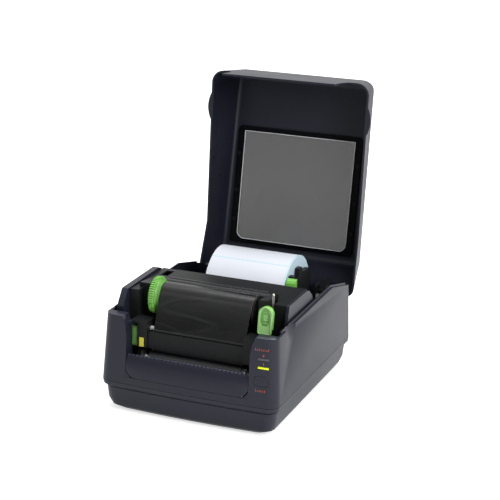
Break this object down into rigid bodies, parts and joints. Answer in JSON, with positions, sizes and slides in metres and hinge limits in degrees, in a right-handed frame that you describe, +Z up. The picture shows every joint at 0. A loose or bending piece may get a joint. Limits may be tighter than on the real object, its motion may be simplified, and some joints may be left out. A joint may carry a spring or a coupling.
{
  "type": "thermal label printer",
  "caption": "Desktop label printer with its hinged lid open, a swing-up ribbon module, a platen roller, a roll of labels on sliding holders and a feed button.",
  "frame": {"origin": "centre of the outline of the whole printer with its lid open, on the surface that the rubber feet stand on; the middle of the case is 49.79 mm in front of it", "axes": "+X to the right of a user who faces the label exit, +Y towards the back, +Z up; the lid is open at rest"},
  "size_m": [0.2215, 0.3806, 0.3641],
  "materials": {
    "case_plastic": "fine-textured moulded plastic, dark blue-grey",
    "inner_plastic": "black moulded plastic",
    "black_parts": "black plastic",
    "foot_rubber": "soft black rubber",
    "green_plastic": "satin light green plastic",
    "steel": "plain sheet and turned steel",
    "head_ceramic": "glazed ceramic strip",
    "aluminium": "extruded aluminium",
    "window_glass": "clear smoke-grey plastic sheet",
    "lens": "translucent light guide",
    "board": "green circuit board",
    "paper": "white label paper",
    "card": "brown card",
    "ribbon_film": "black ribbon film with a satin sheen",
    "gear_plastic": "natural white plastic",
    "brass": "machined brass",
    "yellow_label": "plain yellow sticker"
  },
  "bodies": {
    "base": {"bottom_tray": "case_plastic", "rubber_feet": "foot_rubber", "case_shell": "case_plastic", "front_cover": "case_plastic", "tear_bar": "steel", "media_deck": "inner_plastic", "left_side_plate": "steel", "right_side_plate": "steel", "platen_bushings": "inner_plastic", "stepper_motor": "black_parts", "main_board": "board", "power_inlet": "black_parts", "data_ports": "steel", "media_sensor": "black_parts", "status_lenses": "lens", "panel_board": "board", "hinge_brackets": "inner_plastic", "case_screws": "steel", "label_web": "paper"},
    "lid": {"lid_shell": "case_plastic", "window_bezel": "inner_plastic", "window_pane": "window_glass", "hinge_arms": "inner_plastic", "bezel_screws": "steel"},
    "head_module": {"module_frame": "inner_plastic", "module_skin_left": "case_plastic", "module_skin_right": "case_plastic", "head_front_plate": "inner_plastic", "print_head": "head_ceramic", "heat_sink": "aluminium", "guide_rod": "steel", "ribbon_web": "ribbon_film", "head_springs": "steel", "pivot_pins": "steel", "plain_tab": "yellow_label", "leaf_spring": "steel"},
    "latch": {"release_lever": "green_plastic", "left_latch": "green_plastic", "latch_shaft": "steel"},
    "takeup": {"takeup_wheel": "green_plastic", "takeup_core": "card", "takeup_film": "ribbon_film", "takeup_gear": "gear_plastic"},
    "takeup_idler": {"takeup_idler_gear": "gear_plastic"},
    "supply": {"supply_hubs": "green_plastic", "supply_core": "card", "supply_film": "ribbon_film"},
    "platen": {"platen_rubber": "foot_rubber", "platen_shaft": "steel", "platen_gear": "gear_plastic"},
    "drive_idler": {"drive_idler_gear": "gear_plastic"},
    "motor_pinion": {"motor_pinion": "brass"},
    "label_roll": {"label_core": "card", "label_stock": "paper"},
    "holder_left": {"holder_left": "inner_plastic"},
    "holder_right": {"holder_right": "inner_plastic"},
    "holder_pinion": {"holder_pinion": "gear_plastic"},
    "holder_lock": {"holder_lock": "green_plastic"},
    "feed_button": {"feed_button": "case_plastic"},
    "power_rocker": {"power_rocker": "black_parts"}
  },
  "joints": [
    {"name": "lid_hinge", "type": "hinge", "parent": "base", "child": "lid", "pos_m": [0, 0.08301, 0.0951], "axis": [-1, 0, 0], "range_deg": [-93.4, 0]},
    {"name": "module_pivot", "type": "hinge", "parent": "base", "child": "head_module", "pos_m": [0, -0.04479, 0.1], "axis": [-1, 0, 0], "range_deg": [0, 42]},
    {"name": "latch_turn", "type": "hinge", "parent": "head_module", "child": "latch", "pos_m": [0, -0.15179, 0.092], "axis": [1, 0, 0], "range_deg": [0, 12], "stiffness_Nm_per_rad": 0.6, "springref_deg": -11.46},
    {"name": "takeup_spin", "type": "hinge", "parent": "head_module", "child": "takeup", "pos_m": [0, -0.12979, 0.133], "axis": [1, 0, 0], "continuous": true},
    {"name": "takeup_idler_spin", "type": "hinge", "parent": "head_module", "child": "takeup_idler", "pos_m": [-0.08, -0.12179, 0.121], "axis": [1, 0, 0], "continuous": true},
    {"name": "supply_spin", "type": "hinge", "parent": "head_module", "child": "supply", "pos_m": [0, -0.08779, 0.104], "axis": [1, 0, 0], "continuous": true},
    {"name": "platen_spin", "type": "hinge", "parent": "base", "child": "platen", "pos_m": [0, -0.15979, 0.066], "axis": [1, 0, 0], "continuous": true},
    {"name": "drive_idler_spin", "type": "hinge", "parent": "base", "child": "drive_idler", "pos_m": [-0.07, -0.14161, 0.03727], "axis": [1, 0, 0], "continuous": true},
    {"name": "motor_pinion_spin", "type": "hinge", "parent": "base", "child": "motor_pinion", "pos_m": [-0.07, -0.11179, 0.0405], "axis": [1, 0, 0], "continuous": true},
    {"name": "label_roll_spin", "type": "hinge", "parent": "base", "child": "label_roll", "pos_m": [0.001, 0.03021, 0.101], "axis": [1, 0, 0], "continuous": true},
    {"name": "holder_right_slide", "type": "slide", "parent": "base", "child": "holder_right", "axis": [1, 0, 0], "range_m": [0, 0.009]},
    {"name": "holder_left_slide", "type": "slide", "parent": "base", "child": "holder_left", "axis": [-1, 0, 0], "range_m": [0, 0.009]},
    {"name": "holder_pinion_turn", "type": "hinge", "parent": "base", "child": "holder_pinion", "pos_m": [0.001, 0.03021, 0.035], "axis": [0, 0, 1], "range_deg": [-70, 0]},
    {"name": "holder_lock_slide", "type": "slide", "parent": "holder_right", "child": "holder_lock", "axis": [0, 0, -1], "range_m": [0, 0.003], "stiffness_N_per_m": 300, "springref_m": -0.001},
    {"name": "feed_button_press", "type": "slide", "parent": "base", "child": "feed_button", "axis": [0, 1, 0], "range_m": [0, 0.001], "stiffness_N_per_m": 500, "springref_m": -0.001},
    {"name": "power_switch", "type": "hinge", "parent": "base", "child": "power_rocker", "pos_m": [-0.079, 0.07721, 0.0201], "axis": [1, 0, 0], "range_deg": [-9, 9]}
  ],
  "couplings": [
    {"joint": "takeup_idler_spin", "follows": "takeup_spin", "ratio": -0.5},
    {"joint": "drive_idler_spin", "follows": "platen_spin", "ratio": -0.41667},
    {"joint": "motor_pinion_spin", "follows": "platen_spin", "ratio": 1.6667},
    {"joint": "holder_left_slide", "follows": "holder_right_slide", "ratio": 1},
    {"joint": "holder_pinion_turn", "follows": "holder_right_slide", "rad_per_m": -125}
  ]
}
